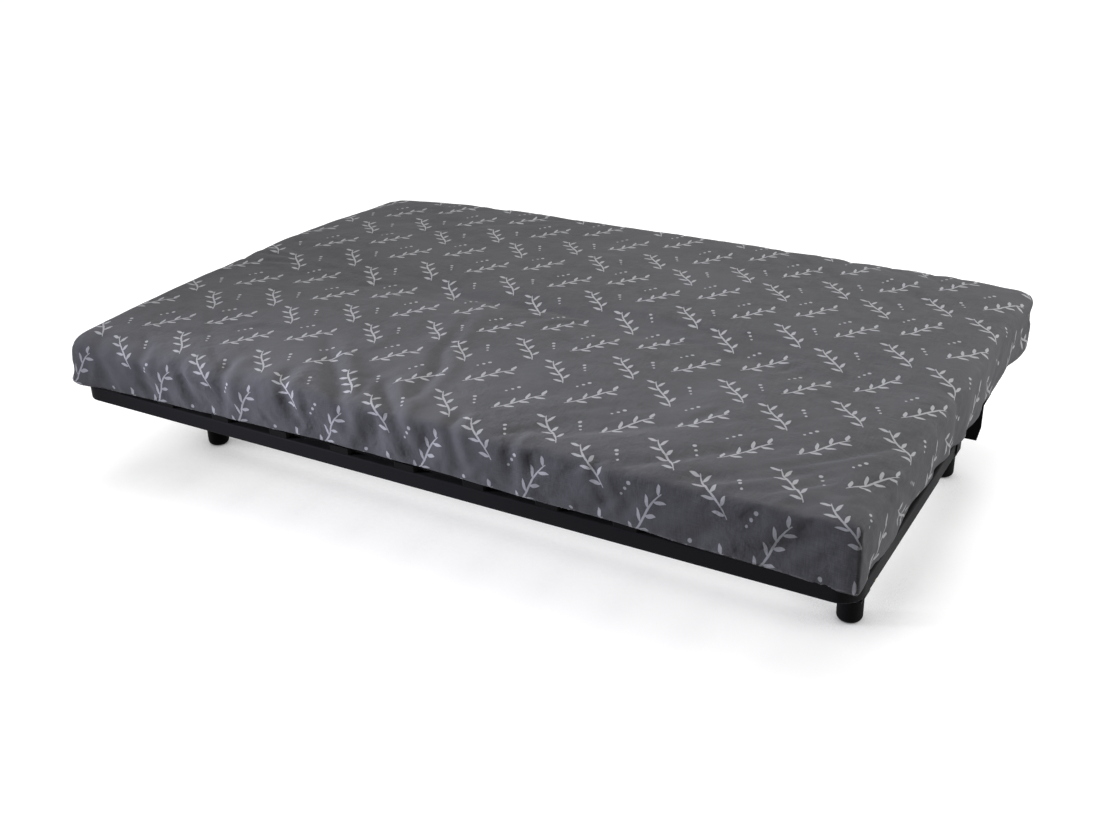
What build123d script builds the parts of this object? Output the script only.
from build123d import *
import math
import os

# A sofa bed opened out flat, in millimetres. X runs along the bed, -Y is the seat's front side,
# +Y is the side of the folding back, and Z = 0 is the floor. The origin is under the bed's middle.

# Overall sizes
bed_length = 1900.0
bed_depth = 1270.0
mattress_thickness = 111.0
rail_bottom_height = 235.0

# Steel tube of the two slatted frames
frame_margin = 2.0
back_frame_inset = 11.0
tube_width = 25.0
tube_height = 35.0
tube_wall = 1.5
tube_corner_radius = 4.0
frame_bend_radius = 45.0
fold_gap_half = 8.0
inner_rail_offset = 45.0

# Slats and their holders
slat_pitch = 168.7
slat_width = 53.0
slat_thickness = 8.0
slat_camber = 8.0
holder_width = 57.0
holder_height = 14.0
holder_depth = 40.0
holder_floor = 2.4
holder_end_wall = 8.0
holder_corner_cut = 5.0
holder_setback = 2.0
pocket_clearance = 0.3

# Mattress
cover_gap = 0.3
top_edge_radius = 20.0
bottom_edge_radius = 10.0
mattress_corner_radius = 32.0
side_pull_in = 5.0
side_profile_spare = 2.0
top_crown = 5.0
fold_spare_angle = 1.5
fold_flat_run = 10.0

# Base frame and feet
base_side_inset = 70.0
base_front = 347.0
base_rear = 384.0
base_rail_setback = 5.0
base_tube_width = 30.0
base_tube_height = 40.0
foot_height = 58.0
foot_radius = 26.5
foot_edge_radius = 12.0
foot_neck_radius = 22.5
foot_neck_height = 8.0
foot_plate_size = 58.0
foot_plate_thickness = 4.0
foot_from_end = 99.0
foot_from_base_end = 22.0
cap_lip = 3.0
cap_plug_length = 18.0
cap_fit = 0.1

# Fold hinge with its ratchet
hinge_height = 262.0
hinge_plate_thickness = 4.0
hinge_plate_gap = 0.3
hinge_plate_length = 150.0
hinge_plate_height = 26.0
hinge_eye_radius = 18.0
hinge_pad_clearance = 10.0
hinge_bolt_radius = 5.0
hinge_head_radius = 7.0
hinge_head_thickness = 5.0
back_turn = 75.0
running_fit = 0.05
quadrant_radius = 38.0
quadrant_start_angle = 183.0
quadrant_end_angle = 300.0
tooth_depth = 4.5
tooth_count = 4
tooth_step_angle = 15.0
tooth_back_angle = 9.0
tooth_face_angle = 1.0
pawl_contact_angle = 262.0
pawl_gap = 0.4
pawl_pivot_forward = 84.0
pawl_pivot_drop = 43.0
pawl_eye_radius = 9.0
pawl_root_width = 13.0
pawl_tip_width = 5.0
pawl_pin_radius = 4.0
pawl_pin_head_radius = 6.5
pawl_pin_head_thickness = 3.0
pawl_tail_length = 22.0
pawl_tail_drop = 7.0
pawl_tail_width = 8.0

# Carrying linkage, a parallelogram on each side
arm_thickness = 5.0
arm_eye_radius = 15.0
arm_width = 24.0
arm_gap = 1.0
link_plate_thickness = 4.0
link_plate_bottom = 72.0
link_plate_ear_height = 28.0
link_plate_ear_half = 58.0
link_plate_end_margin = 26.0
lower_pivot_height = 105.0
upper_pivot_height = 200.0
seat_travel = 200.0
rear_arm_lower_y = -45.0
link_length = 270.0
pivot_stud_radius = 5.0
pivot_head_radius = 8.5
pivot_head_thickness = 4.0
pivot_head_gap = 0.3
open_pivot_fit = 0.3
bracket_thickness = 4.0
bracket_eye_radius = 16.0
bracket_front_margin = 30.0
bracket_rear_margin = 35.0
bracket_web_drop = 20.0
bracket_flange_inset = 2.0
buffer_radius = 6.0
buffer_along_arm = 45.0
buffer_gap = 0.3

# Tension springs
spring_wire_radius = 1.6
spring_coil_radius = 9.0
spring_turns = 9
spring_pitch = 13.0
spring_wire_sides = 5
spring_lead = 14.0
spring_hook_angle = 240.0
spring_hook_gap = 0.3
spring_pin_radius = 5.0
spring_pin_along_arm = 60.0
spring_pin_overhang = 6.0
spring_inset = 14.0
spring_lug_y = 160.0
spring_lug_rise = 16.0
spring_lug_radius = 10.0
spring_lug_thickness = 4.0

# Rest brackets of the back
rest_bracket_y = 362.0
rest_web_bottom = 107.0
rest_web_reach = 48.0
rest_web_taper = 7.0
rest_web_taper_height = 35.0
rest_web_flare_height = 198.0
rest_sheet_thickness = 4.0
rest_bracket_depth = 36.0
rest_mount_bottom = 68.0
rest_corner_radius = 6.0
rest_pad_thickness = 9.0
rest_pad_width = 30.0
rest_gap = 0.3

# Overrun of cuts
overrun = 5.0

# Places worked out from the sizes
half_length = bed_length / 2
half_depth = bed_depth / 2
frame_edge = half_depth - frame_margin
tube_top = rail_bottom_height + tube_height
tube_middle = rail_bottom_height + tube_height / 2
holder_top = tube_top + holder_height
mattress_bottom = holder_top + cover_gap
mattress_top = mattress_bottom + mattress_thickness
frame_half = {"seat": half_length, "back": half_length - back_frame_inset}
tube_face = {side: half - tube_width for side, half in frame_half.items()}
slat_pairs = int((frame_half["back"] - frame_bend_radius - holder_width / 2) / slat_pitch)

base_out = half_length - base_side_inset
base_in = base_out - base_tube_width
base_bottom = foot_height + foot_plate_thickness
base_top = base_bottom + base_tube_height
foot_x = half_length - foot_from_end

link_plate_face = base_out + link_plate_thickness
arm_in = link_plate_face + arm_gap
arm_out = arm_in + arm_thickness
bracket_in = arm_out + arm_gap
bracket_out = bracket_in + bracket_thickness

seat_plate_out = tube_face["back"] - hinge_plate_gap
seat_plate_in = seat_plate_out - hinge_plate_thickness
back_plate_out = seat_plate_in - hinge_plate_gap
back_plate_in = back_plate_out - hinge_plate_thickness

lower_pivot_y = {"rear": rear_arm_lower_y, "front": rear_arm_lower_y - link_length}
upper_pivot_y = {name: y - seat_travel / 2 for name, y in lower_pivot_y.items()}
pivot_rise = upper_pivot_height - lower_pivot_height
arm_length = math.hypot(seat_travel / 2, pivot_rise)
arm_tilt = math.degrees(math.atan2(pivot_rise, -seat_travel / 2))


def box_between(x0, x1, y0, y1, z0, z1):
    """A block between two planes on each axis."""
    middle = Location(((x0 + x1) / 2, (y0 + y1) / 2, (z0 + z1) / 2))
    return middle * Box(abs(x1 - x0), abs(y1 - y0), abs(z1 - z0))


def plate_yz(x_in, thickness, *shapes):
    """A flat plate standing across X, from shapes drawn in Y and Z."""
    face = shapes[0]
    for shape in shapes[1:]:
        face = face + shape
    return extrude(Plane.YZ.offset(x_in) * face, thickness)


def disc(place, radius):
    """A round shape at a place in Y and Z."""
    return Location(place) * Circle(radius)


def strip(start, end, width):
    """A straight strip between two places in Y and Z."""
    run = Vector(end[0] - start[0], end[1] - start[1])
    angle = math.degrees(math.atan2(run.Y, run.X))
    middle = Location(((start[0] + end[0]) / 2, (start[1] + end[1]) / 2), angle)
    return middle * Rectangle(run.length, width)


def outline(*points):
    """A flat shape with straight sides."""
    return make_face(Polyline(*points, close=True))


def rod_x(x0, x1, place, radius):
    """A round rod along X, or the cut for a hole."""
    face = Plane.YZ.offset(min(x0, x1)) * disc(place, radius)
    return extrude(face, abs(x1 - x0))


def around(centre, radius, angle):
    """The place at an angle on a circle in Y and Z."""
    turn = math.radians(angle)
    return (centre[0] + radius * math.cos(turn), centre[1] + radius * math.sin(turn))


def left_of(solid):
    """The same piece on the left end of the bed."""
    return mirror(solid, about=Plane.YZ)


def back_of(solid):
    """A seat frame's piece turned over to the back frame."""
    return mirror(solid, about=Plane.XZ)


def save(name, *pieces):
    """Write one piece, or a group of separate pieces, as one node."""
    solids = [solid for piece in pieces for solid in piece.solids()]
    shape = solids[0] if len(solids) == 1 else Compound(children=solids)
    export_step(shape, f"parts/{name}.step")


def save_both_ends(name, solid):
    """Write the piece on the right end and its twin on the left end as two nodes."""
    save(f"{name}_right", solid)
    save(f"{name}_left", left_of(solid))


# Steel tubes of the seat frame and the back frame

def tube_outline(wall):
    """The frame tube's section, less a wall all round."""
    radius = tube_corner_radius - wall
    return RectangleRounded(tube_width - 2 * wall, tube_height - 2 * wall, radius)


def straight_tube(half_run, y):
    """An open frame tube along X."""
    section = tube_outline(0) - tube_outline(tube_wall)
    start = Plane.YZ.offset(-half_run) * Location((y, tube_middle))
    return extrude(start * section, 2 * half_run)


def bent_end_tube(frame_end):
    """A frame's right end tube with its front bend, closed at the fold."""
    bend_x = frame_end - frame_bend_radius
    bend_y = -frame_edge + frame_bend_radius
    bend_axis = Axis((bend_x, bend_y, 0), (0, 0, 1))
    solids = []
    for wall in (0, tube_wall):
        section = tube_outline(wall)
        start = Plane.YZ.offset(bend_x) * Location((-frame_edge + tube_width / 2, tube_middle))
        bend = revolve(start * section, bend_axis, 90)
        run_start = Plane((frame_end - tube_width / 2, bend_y, tube_middle), (-1, 0, 0), (0, 1, 0))
        run = extrude(run_start * section, -fold_gap_half - wall - bend_y)
        solids.append(bend + run)
    return solids[0] - solids[1]


def make_frame(side, turn_over, inner_half_run):
    """One slatted frame's tubes: the outer rail, two end tubes and the rail beside the fold."""
    end_tube = bent_end_tube(frame_half[side])
    outer_y = -frame_edge + tube_width / 2
    inner_y = -inner_rail_offset - tube_width / 2
    save(f"{side}_outer_rail", turn_over(straight_tube(frame_half[side] - frame_bend_radius, outer_y)))
    save(f"{side}_inner_rail", turn_over(straight_tube(inner_half_run, inner_y)))
    save_both_ends(f"{side}_end_tube", turn_over(end_tube))


# Slats and their holders

holder_outer_y = -frame_edge + holder_setback
holder_inner_y = -inner_rail_offset - holder_depth
slat_bottom = tube_top + holder_floor + pocket_clearance
slat_crown = slat_bottom + slat_thickness + slat_camber
slat_start_y = holder_outer_y + holder_end_wall + pocket_clearance
slat_end_y = -inner_rail_offset - holder_end_wall - pocket_clearance
slat_middle_y = (slat_start_y + slat_end_y) / 2


def slat_rise(depth):
    """How far a slat has risen by its bow at a depth from its end."""
    half_span = (slat_end_y - slat_start_y) / 2
    bow_radius = (half_span ** 2 + slat_camber ** 2) / (2 * slat_camber)
    return math.sqrt(bow_radius ** 2 - (half_span - depth) ** 2) - bow_radius + slat_camber


def bow(z, forward):
    """One long edge of a slat, seen from the bed's end."""
    ends = (slat_start_y, slat_end_y) if forward else (slat_end_y, slat_start_y)
    return ThreePointArc((ends[0], z), (slat_middle_y, z + slat_camber), (ends[1], z))


def slat(x):
    """One bowed slat of the seat frame, level at its ends."""
    low = slat_bottom
    high = slat_bottom + slat_thickness
    near_end = Line((slat_start_y, high), (slat_start_y, low))
    far_end = Line((slat_end_y, low), (slat_end_y, high))
    face = make_face([*bow(low, True).edges(), far_end, *bow(high, False).edges(), near_end])
    return plate_yz(x - slat_width / 2, slat_width, face)


def holder(x, at_outer_rail):
    """A plastic holder standing on a rail, with a pocket that is open towards the slat."""
    y0 = holder_outer_y if at_outer_rail else holder_inner_y
    y1 = y0 + holder_depth
    body = box_between(x - holder_width / 2, x + holder_width / 2, y0, y1, tube_top, holder_top)
    closed_side = body.faces().sort_by(Axis.Y)[0 if at_outer_rail else -1]
    body = chamfer(closed_side.edges().filter_by(Axis.Z), holder_corner_cut)
    pocket_half = slat_width / 2 + pocket_clearance
    pocket_low = slat_bottom - pocket_clearance
    mouth_rise = slat_rise(holder_depth - holder_end_wall)
    pocket_high = slat_bottom + slat_thickness + mouth_rise + pocket_clearance
    if at_outer_rail:
        pocket_y = (y0 + holder_end_wall, y1 + overrun)
    else:
        pocket_y = (y0 - overrun, y1 - holder_end_wall)
    return body - box_between(x - pocket_half, x + pocket_half, *pocket_y, pocket_low, pocket_high)


def make_slats(side, turn_over):
    """The slats of one frame, in mirrored pairs about the middle one, and their holders."""
    holders = []
    for pair in range(slat_pairs + 1):
        places = sorted({-pair * slat_pitch, pair * slat_pitch})
        save(f"{side}_slats_{pair}", *[turn_over(slat(x)) for x in places])
        holders += [turn_over(holder(x, outer)) for x in places for outer in (True, False)]
    save(f"{side}_slat_holders", *holders)


# Mattress

def fold_offset(z):
    """How far from the fold line a mattress half begins at a height, so that the halves clear."""
    return (z - hinge_height) * math.tan(math.radians(back_turn / 2 + fold_spare_angle))


def mattress_side_face():
    """The mattress seen from its end: a crown and a hollow underside on each half."""
    low = mattress_bottom
    shoulder = mattress_top - top_crown
    under_end = (half_depth + side_profile_spare - bottom_edge_radius, low)
    under_middle = (-slat_middle_y, slat_crown + cover_gap)
    under_fold = (fold_offset(low) + fold_flat_run, low)
    side_y = half_depth + side_profile_spare
    side_low = (side_y, low + bottom_edge_radius)
    side_high = (side_y, shoulder - top_edge_radius)
    top_end = (side_y - top_edge_radius, shoulder)
    top_middle = (half_depth / 2, mattress_top)
    top_fold = (0, shoulder)
    edges = [Line((-under_fold[0], low), under_fold)]
    for flip in (1, -1):
        def at(place):
            return (flip * place[0], place[1])
        edges.append(ThreePointArc(at(under_fold), at(under_middle), at(under_end)))
        edges.append(RadiusArc(at(under_end), at(side_low), -flip * bottom_edge_radius))
        edges.append(Line(at(side_low), at(side_high)))
        edges.append(RadiusArc(at(side_high), at(top_end), -flip * top_edge_radius))
        edges.append(ThreePointArc(at(top_end), at(top_middle), at(top_fold)))
    return make_face(edges)


def mattress_long_face():
    """The mattress seen from its front: level in the middle, rounded at both ends."""
    low = mattress_bottom
    shoulder = mattress_top - top_crown
    end_x = half_length + side_profile_spare
    end_low = (end_x, low + bottom_edge_radius)
    end_high = (end_x, shoulder - top_edge_radius)
    under_end = (end_x - bottom_edge_radius, low)
    top_end = (end_x - top_edge_radius, shoulder)
    top_middle = (0, mattress_top + top_crown)
    edges = [Line((-under_end[0], low), under_end)]
    edges.append(ThreePointArc(top_end, top_middle, (-top_end[0], shoulder)))
    for flip in (1, -1):
        def at(place):
            return (flip * place[0], place[1])
        edges.append(RadiusArc(at(under_end), at(end_low), -flip * bottom_edge_radius))
        edges.append(Line(at(end_low), at(end_high)))
        edges.append(RadiusArc(at(end_high), at(top_end), -flip * top_edge_radius))
    return make_face(edges)


def mattress_plan_face():
    """The mattress seen from above: round corners, and sides drawn in between them."""
    corner = mattress_corner_radius
    x_end = half_length - corner
    y_end = half_depth - corner
    edges = []
    for flip in (1, -1):
        front = [(-flip * x_end, -flip * half_depth), (0, -flip * (half_depth - side_pull_in))]
        front.append((flip * x_end, -flip * half_depth))
        end = [(flip * half_length, -flip * y_end), (flip * (half_length - side_pull_in), 0)]
        end.append((flip * half_length, flip * y_end))
        edges.append(ThreePointArc(*front))
        edges.append(RadiusArc(front[-1], end[0], -corner))
        edges.append(ThreePointArc(*end))
        edges.append(RadiusArc(end[-1], (flip * x_end, flip * half_depth), -corner))
    return make_face(edges)


def make_mattress():
    """The mattress in its seat half, its back half, and the wedge that folding squeezes."""
    seen_from_end = extrude(Plane.YZ * mattress_side_face(), half_length + overrun, both=True)
    seen_from_front = extrude(Plane.XZ * mattress_long_face(), half_depth + overrun, both=True)
    plan_start = Plane.XY.offset(mattress_bottom - overrun)
    seen_from_above = extrude(plan_start * mattress_plan_face(), mattress_thickness + 2 * overrun)
    block = seen_from_end & seen_from_front & seen_from_above
    low = mattress_bottom - overrun
    high = mattress_top + overrun
    outer = half_depth + overrun
    half = outline((fold_offset(low), low), (outer, low), (outer, high), (fold_offset(high), high))
    back_cut = extrude(Plane.YZ * half, half_length + overrun, both=True)
    seat_cut = back_of(back_cut)
    save("mattress_seat", block & seat_cut)
    save("mattress_back", block & back_cut)
    save("mattress_fold", block - seat_cut - back_cut)


# Base frame and feet

def base_outline(wall):
    """The base tube's section, less a wall all round."""
    radius = tube_corner_radius - wall
    return RectangleRounded(base_tube_width - 2 * wall, base_tube_height - 2 * wall, radius)


def foot_places():
    """Name and middle of each foot."""
    front_y = -base_front + foot_from_base_end
    rear_y = base_rear - foot_from_base_end
    rows = (("front", front_y), ("rear", rear_y))
    ends = (("right", foot_x), ("left", -foot_x))
    return [(f"foot_{row}_{end}", x, y) for row, y in rows for end, x in ends]


def foot():
    """A turned plastic foot: round bottom edge, slim neck under its plate."""
    profile = FilletPolyline(
        (0, 0), (foot_radius, 0), (foot_radius, foot_height - foot_neck_height), radius=foot_edge_radius
    )
    neck = Polyline(
        (foot_radius, foot_height - foot_neck_height),
        (foot_neck_radius, foot_height - foot_neck_height),
        (foot_neck_radius, foot_height),
        (0, foot_height),
        (0, 0),
    )
    face = make_face([*profile.edges(), *neck.edges()])
    return revolve(Plane.XZ * face, Axis.Z)


def spring_lug_place():
    """The lug's pin in Y and Z."""
    return (spring_lug_y, base_top + spring_lug_rise)


def base_side_tube():
    """The right side tube with its foot plates and the spring's lug, all welded on."""
    section = base_outline(0) - base_outline(tube_wall)
    middle = (base_in + base_tube_width / 2, -base_front, base_bottom + base_tube_height / 2)
    run_start = Plane(middle, (-1, 0, 0), (0, 1, 0))
    side = extrude(run_start * section, base_front + base_rear)
    half = foot_plate_size / 2
    for _, x, y in foot_places():
        if x > 0:
            side += box_between(x - half, x + half, y - half, y + half, foot_height, base_bottom)
    place = spring_lug_place()
    spring_x = base_out - spring_inset
    lug_in = spring_x + spring_pin_overhang
    base_of_lug = outline(
        (place[0] - spring_lug_radius, base_top),
        (place[0] + spring_lug_radius, base_top),
        (place[0] + spring_lug_radius, place[1]),
        (place[0] - spring_lug_radius, place[1]),
    )
    lug = plate_yz(lug_in, spring_lug_thickness, disc(place, spring_lug_radius), base_of_lug)
    pin = rod_x(spring_x - spring_pin_overhang, lug_in, place, spring_pin_radius)
    return side + lug + pin


def base_end_cap(y, outward):
    """A plastic cap in a side tube's end: a lip over the end and a plug inside."""
    middle_x = base_in + base_tube_width / 2
    middle_z = base_bottom + base_tube_height / 2
    start = Plane((middle_x, y, middle_z), (-1, 0, 0), (0, outward, 0))
    lip = extrude(start * base_outline(0), cap_lip)
    plug = extrude(start * base_outline(tube_wall + cap_fit), -cap_plug_length)
    return lip + plug


def make_base():
    """The low frame on the floor that carries everything."""
    section = base_outline(0) - base_outline(tube_wall)
    rail_middle = base_rail_setback + base_tube_width / 2
    rails = (("front", -base_front + rail_middle), ("rear", base_rear - rail_middle))
    for name, y in rails:
        start = Plane.YZ.offset(-base_in) * Location((y, base_bottom + base_tube_height / 2))
        save(f"base_{name}_rail", extrude(start * section, 2 * base_in))
    save_both_ends("base_side_tube", base_side_tube())
    caps = [base_end_cap(-base_front, -1), base_end_cap(base_rear, 1)]
    save("base_end_caps", *caps, *[left_of(cap) for cap in caps])
    for name, x, y in foot_places():
        save(name, Location((x, y, 0)) * foot())


# Carrying linkage

def arm_place(which, along, across=0):
    """A place on an arm at rest: along it from its lower pivot, and across on its front side."""
    pivot = (lower_pivot_y[which], lower_pivot_height)
    on_arm = around(pivot, along, arm_tilt)
    return around(on_arm, across, arm_tilt + 90)


def buffer_places():
    """The two rubber stops of the rear arm, one for each end of its swing."""
    across = arm_width / 2 + buffer_radius + buffer_gap
    rest = arm_place("rear", buffer_along_arm, across)
    far_y = 2 * lower_pivot_y["rear"] - rest[0]
    return [rest, (far_y, rest[1])]


def arm(which):
    """A flat steel arm with an eye at each end. The rear one carries the spring's pin."""
    low = (lower_pivot_y[which], lower_pivot_height)
    high = (upper_pivot_y[which], upper_pivot_height)
    eyes = [disc(low, arm_eye_radius), disc(high, arm_eye_radius)]
    solid = plate_yz(arm_in, arm_thickness, strip(low, high, arm_width), *eyes)
    high_fit = running_fit if which == "rear" else open_pivot_fit
    for place, fit in ((low, running_fit), (high, high_fit)):
        solid -= rod_x(arm_in - overrun, arm_out + overrun, place, pivot_stud_radius + fit)
    if which == "rear":
        pin_end = base_out - spring_inset - spring_pin_overhang
        solid += rod_x(pin_end, arm_in, arm_place(which, spring_pin_along_arm), spring_pin_radius)
    return solid


def link_plate():
    """The plate on the base that holds both lower pivots and the rear arm's stops."""
    start_y = lower_pivot_y["front"] - link_plate_end_margin
    end_y = lower_pivot_y["rear"] + link_plate_ear_half
    foot_strip = outline(
        (start_y, link_plate_bottom), (end_y, link_plate_bottom), (end_y, base_top), (start_y, base_top)
    )
    ear_top = base_top + link_plate_ear_height
    shapes = [foot_strip]
    for which, half in (("rear", link_plate_ear_half), ("front", link_plate_end_margin)):
        y = lower_pivot_y[which]
        slope = link_plate_ear_height / 3
        shapes.append(outline(
            (y - half, base_top), (y + half, base_top), (y + half - slope, ear_top), (y - half + slope, ear_top)
        ))
    solid = plate_yz(base_out, link_plate_thickness, *shapes)
    for y in lower_pivot_y.values():
        place = (y, lower_pivot_height)
        solid -= rod_x(base_out - overrun, link_plate_face + overrun, place, pivot_stud_radius)
    return solid


def lower_stud(which):
    """A riveted stud in the link plate, with its head outside the arm."""
    place = (lower_pivot_y[which], lower_pivot_height)
    head_in = arm_out + pivot_head_gap
    shank = rod_x(base_out, head_in, place, pivot_stud_radius)
    return shank + rod_x(head_in, head_in + pivot_head_thickness, place, pivot_head_radius)


def upper_stud(which):
    """A riveted stud in the seat bracket, with its head inside the arm."""
    place = (upper_pivot_y[which], upper_pivot_height)
    head_out = arm_in - pivot_head_gap
    shank = rod_x(head_out, bracket_out, place, pivot_stud_radius)
    return shank + rod_x(head_out - pivot_head_thickness, head_out, place, pivot_head_radius)


def seat_bracket():
    """An angle under the seat's end tube, with an eye over each arm."""
    front_y = upper_pivot_y["front"] - bracket_front_margin
    rear_y = upper_pivot_y["rear"] + bracket_rear_margin
    top = rail_bottom_height
    web_low = top - bracket_thickness - bracket_web_drop
    shapes = [outline((front_y, web_low), (rear_y, web_low), (rear_y, top), (front_y, top))]
    for y in upper_pivot_y.values():
        eye = (y, upper_pivot_height)
        shapes.append(disc(eye, bracket_eye_radius))
        flank = bracket_eye_radius + bracket_thickness
        shapes.append(outline(
            (y - bracket_eye_radius, upper_pivot_height), (y + bracket_eye_radius, upper_pivot_height),
            (y + flank, web_low), (y - flank, web_low),
        ))
    solid = plate_yz(bracket_in, bracket_thickness, *shapes)
    flange_end = half_length - bracket_flange_inset
    solid += box_between(bracket_in, flange_end, front_y, rear_y, top - bracket_thickness, top)
    for y in upper_pivot_y.values():
        place = (y, upper_pivot_height)
        solid -= rod_x(bracket_in - overrun, bracket_out + overrun, place, pivot_stud_radius)
    return solid


def make_linkage():
    """Arms, plates, brackets, studs and stops at both ends of the bed."""
    for which in ("rear", "front"):
        save_both_ends(f"{which}_arm", arm(which))
    save_both_ends("link_plate", link_plate())
    save_both_ends("seat_bracket", seat_bracket())
    lower = [lower_stud(which) for which in lower_pivot_y]
    upper = [upper_stud(which) for which in upper_pivot_y]
    buffers = [rod_x(link_plate_face, arm_out, place, buffer_radius) for place in buffer_places()]
    save("lower_pivot_studs", *lower, *[left_of(stud) for stud in lower])
    save("upper_pivot_studs", *upper, *[left_of(stud) for stud in upper])
    save("arm_buffers", *buffers, *[left_of(buffer) for buffer in buffers])


# Tension springs

def joined_arcs(start, start_way, end, end_way):
    """Two arcs that leave one place in its direction and reach the next in its direction."""
    gap = end - start
    ways = start_way + end_way
    spread = 4 - ways.dot(ways)
    reach = gap.dot(ways)
    if spread < 1e-9:
        return [Line(start, end)]
    leg = (math.sqrt(reach * reach + spread * gap.dot(gap)) - reach) / spread
    middle = (start + start_way * leg + end - end_way * leg) / 2
    way = (end - end_way * leg - start - start_way * leg).normalized()
    return [TangentArc(start, middle, tangent=start_way), TangentArc(middle, end, tangent=way)]


def spring():
    """A wire spring from the rear arm's pin to the base's lug: hook, coil and hook in one wire."""
    x = base_out - spring_inset
    arm_pin = Vector(x, *arm_place("rear", spring_pin_along_arm))
    lug_pin = Vector(x, *spring_lug_place())
    along = (lug_pin - arm_pin).normalized()
    sideways = Vector(1, 0, 0)
    up = sideways.cross(along)
    hook_radius = spring_pin_radius + spring_hook_gap + spring_wire_radius
    span = (lug_pin - arm_pin).length
    coil_length = spring_turns * spring_pitch
    coil_start = (span - coil_length) / 2
    axis_start = arm_pin + up * hook_radius

    def on_hook(pin, angle):
        turn = math.radians(angle)
        return pin + (along * math.cos(turn) + up * math.sin(turn)) * hook_radius

    def on_coil(turns):
        turn = 2 * math.pi * turns
        outward = up * math.cos(turn) + sideways * math.sin(turn)
        round_way = sideways * math.cos(turn) - up * math.sin(turn)
        place = axis_start + along * (coil_start + turns * spring_pitch) + outward * spring_coil_radius
        way = round_way * (2 * math.pi * spring_coil_radius) + along * spring_pitch
        return place, way.normalized()

    half_hook = spring_hook_angle / 2
    edges = [ThreePointArc(*[on_hook(arm_pin, 90 + spring_hook_angle - half_hook * k) for k in range(3)])]
    lead_in = axis_start + along * (coil_start - spring_lead)
    edges.append(Line(axis_start, lead_in))
    edges += joined_arcs(lead_in, along, *on_coil(0))
    for half_turn in range(2 * spring_turns):
        edges += joined_arcs(*on_coil(half_turn / 2), *on_coil((half_turn + 1) / 2))
    lead_out = axis_start + along * (coil_start + coil_length + spring_lead)
    edges += joined_arcs(*on_coil(spring_turns), lead_out, along)
    axis_end = axis_start + along * span
    edges.append(Line(lead_out, axis_end))
    edges.append(ThreePointArc(*[on_hook(lug_pin, 90 - half_hook * k) for k in range(3)]))
    wire = Wire([edge for piece in edges for edge in piece.edges()])
    start_plane = Plane(wire @ 0, z_dir=wire % 0)
    least_gap = spring_pitch * math.cos(math.atan2(spring_pitch, 2 * math.pi * spring_coil_radius))
    print("spring: wire length", round(wire.length), "mm, least gap between turns",
          round(least_gap - 2 * spring_wire_radius, 2), "mm")
    section = start_plane * RegularPolygon(spring_wire_radius, spring_wire_sides)
    return sweep(section, path=wire, clean=False)


# Rest brackets of the back

def rest_bracket():
    """A pressed bracket on the base's side tube, with a ledge under the back's end tube."""
    sheet = rest_sheet_thickness
    ledge_top = rail_bottom_height - rest_gap - rest_pad_thickness
    reach_x = base_out + rest_web_reach
    ledge_end = frame_half["back"] - bracket_flange_inset
    corners = [
        (base_out, rest_web_bottom),
        (reach_x - rest_web_taper, rest_web_bottom),
        (reach_x, rest_web_bottom + rest_web_taper_height),
        (reach_x, rest_web_flare_height),
        (ledge_end, ledge_top - sheet),
        (ledge_end, ledge_top),
        (base_out, ledge_top),
    ]
    web_plane = Plane.XZ.offset(-rest_bracket_y - sheet / 2)
    web = extrude(web_plane * outline(*corners), sheet)
    y0 = rest_bracket_y - rest_bracket_depth / 2
    y1 = rest_bracket_y + rest_bracket_depth / 2
    mount = box_between(base_out, base_out + sheet, y0, y1, rest_mount_bottom, ledge_top)
    ledge = box_between(base_out, ledge_end, y0, y1, ledge_top - sheet, ledge_top)
    return web + mount + ledge


def rest_pad():
    """A rubber pad on the ledge, just under the back's end tube."""
    pad_end = frame_half["back"] - bracket_flange_inset
    y0 = rest_bracket_y - rest_bracket_depth / 2
    pad_top = rail_bottom_height - rest_gap
    pad = box_between(pad_end - rest_pad_width, pad_end, y0, y0 + rest_bracket_depth,
                      pad_top - rest_pad_thickness, pad_top)
    return fillet(pad.edges().filter_by(Axis.Z), rest_corner_radius)


# Fold hinge

hinge_place = (0, hinge_height)
pawl_pivot = (-pawl_pivot_forward, hinge_height - pawl_pivot_drop)
pawl_tip = around(hinge_place, quadrant_radius + pawl_gap, pawl_contact_angle)


def hinge_strap(side_sign, start=0):
    """The part of a hinge plate that lies along its end tube."""
    begin = side_sign * start
    reach = side_sign * hinge_plate_length
    low = tube_middle - hinge_plate_height / 2
    high = tube_middle + hinge_plate_height / 2
    return outline((begin, low), (reach, low), (reach, high), (begin, high))


def hinge_pad(side_sign, plate_out, face_x):
    """The spacer between a hinge plate and its end tube's inner face, clear of the fold."""
    pad = hinge_strap(side_sign, hinge_eye_radius + hinge_pad_clearance)
    return plate_yz(plate_out, face_x - plate_out, pad)


def seat_hinge_plate():
    """The fixed plate: an eye for the hinge bolt and an ear for the pawl."""
    low = tube_middle - hinge_plate_height / 2
    ear = outline(
        (pawl_pivot[0] - pawl_eye_radius, pawl_pivot[1]),
        (pawl_pivot[0] + pawl_eye_radius, pawl_pivot[1]),
        (pawl_pivot[0] + 2 * pawl_eye_radius, low),
        (pawl_pivot[0] - 2 * pawl_eye_radius, low),
    )
    eyes = [disc(hinge_place, hinge_eye_radius), disc(pawl_pivot, pawl_eye_radius)]
    solid = plate_yz(seat_plate_in, hinge_plate_thickness, hinge_strap(-1), ear, *eyes)
    solid += hinge_pad(-1, seat_plate_out, tube_face["seat"])
    for place, radius in ((hinge_place, hinge_bolt_radius), (pawl_pivot, pawl_pin_radius)):
        solid -= rod_x(seat_plate_in - overrun, seat_plate_out + overrun, place, radius)
    return solid


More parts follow.
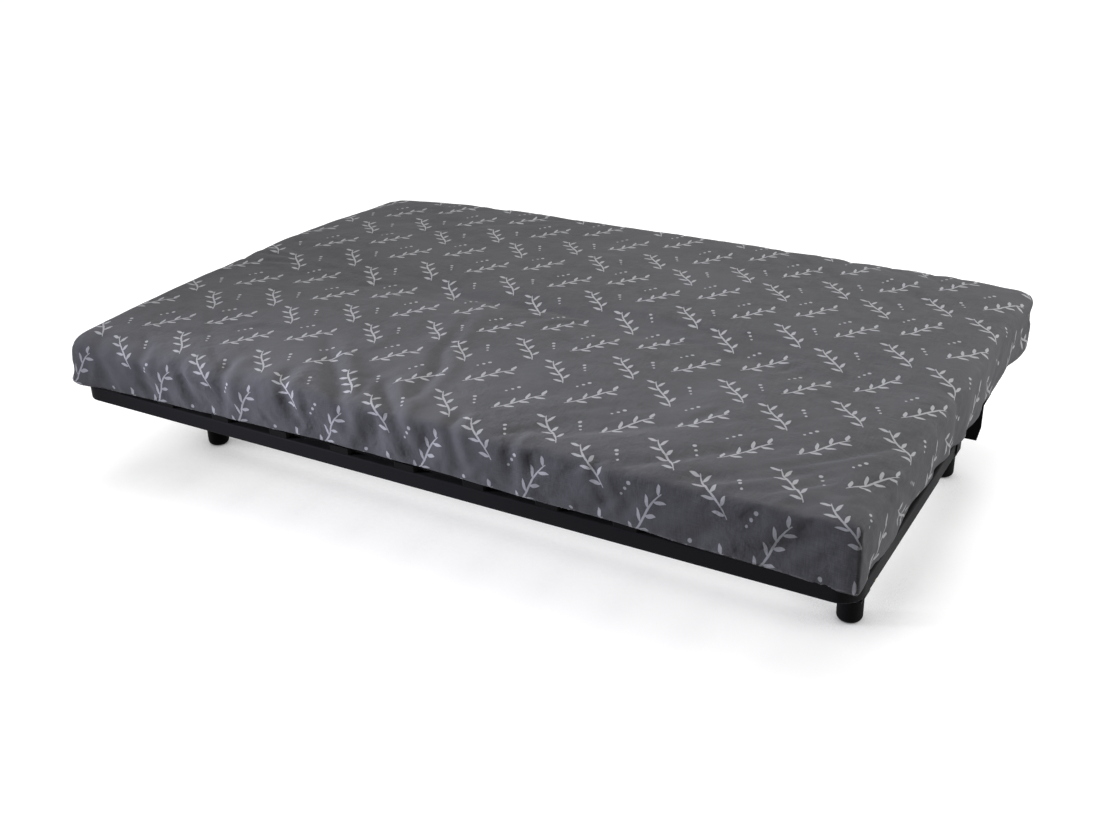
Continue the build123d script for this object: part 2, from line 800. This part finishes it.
def quadrant():
    """The toothed slice below the hinge bolt. The pawl drops behind a tooth's steep face."""
    slice_angles = (quadrant_start_angle, (quadrant_start_angle + quadrant_end_angle) / 2, quadrant_end_angle)
    rim = [around(hinge_place, quadrant_radius, angle) for angle in slice_angles]
    face = make_face([
        Line(hinge_place, rim[0]),
        *ThreePointArc(*rim).edges(),
        Line(rim[2], hinge_place),
    ])
    for tooth in range(tooth_count):
        held_turn = back_turn - tooth * tooth_step_angle
        angle = pawl_contact_angle - held_turn
        clear_radius = quadrant_radius + tooth_depth
        face = face - outline(
            around(hinge_place, clear_radius, angle - tooth_back_angle),
            around(hinge_place, quadrant_radius - tooth_depth, angle + tooth_face_angle),
            around(hinge_place, clear_radius, angle + tooth_face_angle),
        )
    return face


def back_hinge_plate():
    """The turning plate: toothed quadrant, eye, strap, and a pad that meets the end tube."""
    solid = plate_yz(back_plate_in, hinge_plate_thickness, quadrant(), hinge_strap(1),
                     disc(hinge_place, hinge_eye_radius))
    solid += hinge_pad(1, back_plate_out, tube_face["back"])
    bore = rod_x(back_plate_in - overrun, back_plate_out + overrun, hinge_place,
                 hinge_bolt_radius + running_fit)
    return solid - bore


def hinge_bolt():
    """The fold's axle: head outside the seat plate, nut inside the back plate."""
    nut_out = back_plate_in - pivot_head_gap
    shank = rod_x(nut_out, seat_plate_out, hinge_place, hinge_bolt_radius)
    head = rod_x(seat_plate_out, seat_plate_out + hinge_head_thickness, hinge_place, hinge_head_radius)
    nut_face = Location(hinge_place) * RegularPolygon(pivot_head_radius, 6)
    nut = plate_yz(nut_out - hinge_head_thickness, hinge_head_thickness, nut_face)
    return shank + head + nut


def pawl():
    """The ratchet pawl: a tapered finger with a pull tab behind its pin."""
    half_root = pawl_root_width / 2
    finger = outline(
        (pawl_pivot[0], pawl_pivot[1] + half_root),
        pawl_tip,
        (pawl_tip[0], pawl_tip[1] - pawl_tip_width),
        (pawl_pivot[0], pawl_pivot[1] - half_root),
    )
    tail_end = (pawl_pivot[0] - pawl_tail_length, pawl_pivot[1] - pawl_tail_drop)
    tail = strip(pawl_pivot, tail_end, pawl_tail_width)
    tab = disc(tail_end, pawl_tail_width / 2)
    solid = plate_yz(back_plate_in, hinge_plate_thickness, disc(pawl_pivot, pawl_eye_radius), finger, tail, tab)
    bore = rod_x(back_plate_in - overrun, back_plate_out + overrun, pawl_pivot, pawl_pin_radius + running_fit)
    return solid - bore


def pawl_pin():
    """The pawl's pin, riveted in the seat's hinge plate."""
    head_out = back_plate_in - pivot_head_gap
    shank = rod_x(head_out, seat_plate_out, pawl_pivot, pawl_pin_radius)
    return shank + rod_x(head_out - pawl_pin_head_thickness, head_out, pawl_pivot, pawl_pin_head_radius)


def make_fold():
    """The hinge, ratchet and fasteners at both ends of the fold line."""
    save_both_ends("seat_hinge_plate", seat_hinge_plate())
    save_both_ends("back_hinge_plate", back_hinge_plate())
    save_both_ends("pawl", pawl())
    bolt = hinge_bolt()
    pin = pawl_pin()
    save("fold_hinge_bolts", bolt, left_of(bolt))
    save("pawl_pins", pin, left_of(pin))


os.makedirs("parts", exist_ok=True)
make_frame("seat", lambda solid: solid, seat_plate_in)
make_frame("back", back_of, back_plate_in)
make_slats("seat", lambda solid: solid)
make_slats("back", back_of)
make_mattress()
make_base()
make_linkage()
save_both_ends("lift_spring", spring())
save_both_ends("rest_bracket", rest_bracket())
save("rest_pads", rest_pad(), left_of(rest_pad()))
make_fold()

print("arm length", round(arm_length, 3), "mm, swing", round(2 * (arm_tilt - 90), 4), "degrees")
print("pivots, rear lower", lower_pivot_y["rear"], lower_pivot_height,
      "rear upper", upper_pivot_y["rear"], upper_pivot_height)
print("pivots, front lower", lower_pivot_y["front"], "front upper", upper_pivot_y["front"])
print("pawl pivot", pawl_pivot, "mattress top", mattress_top)
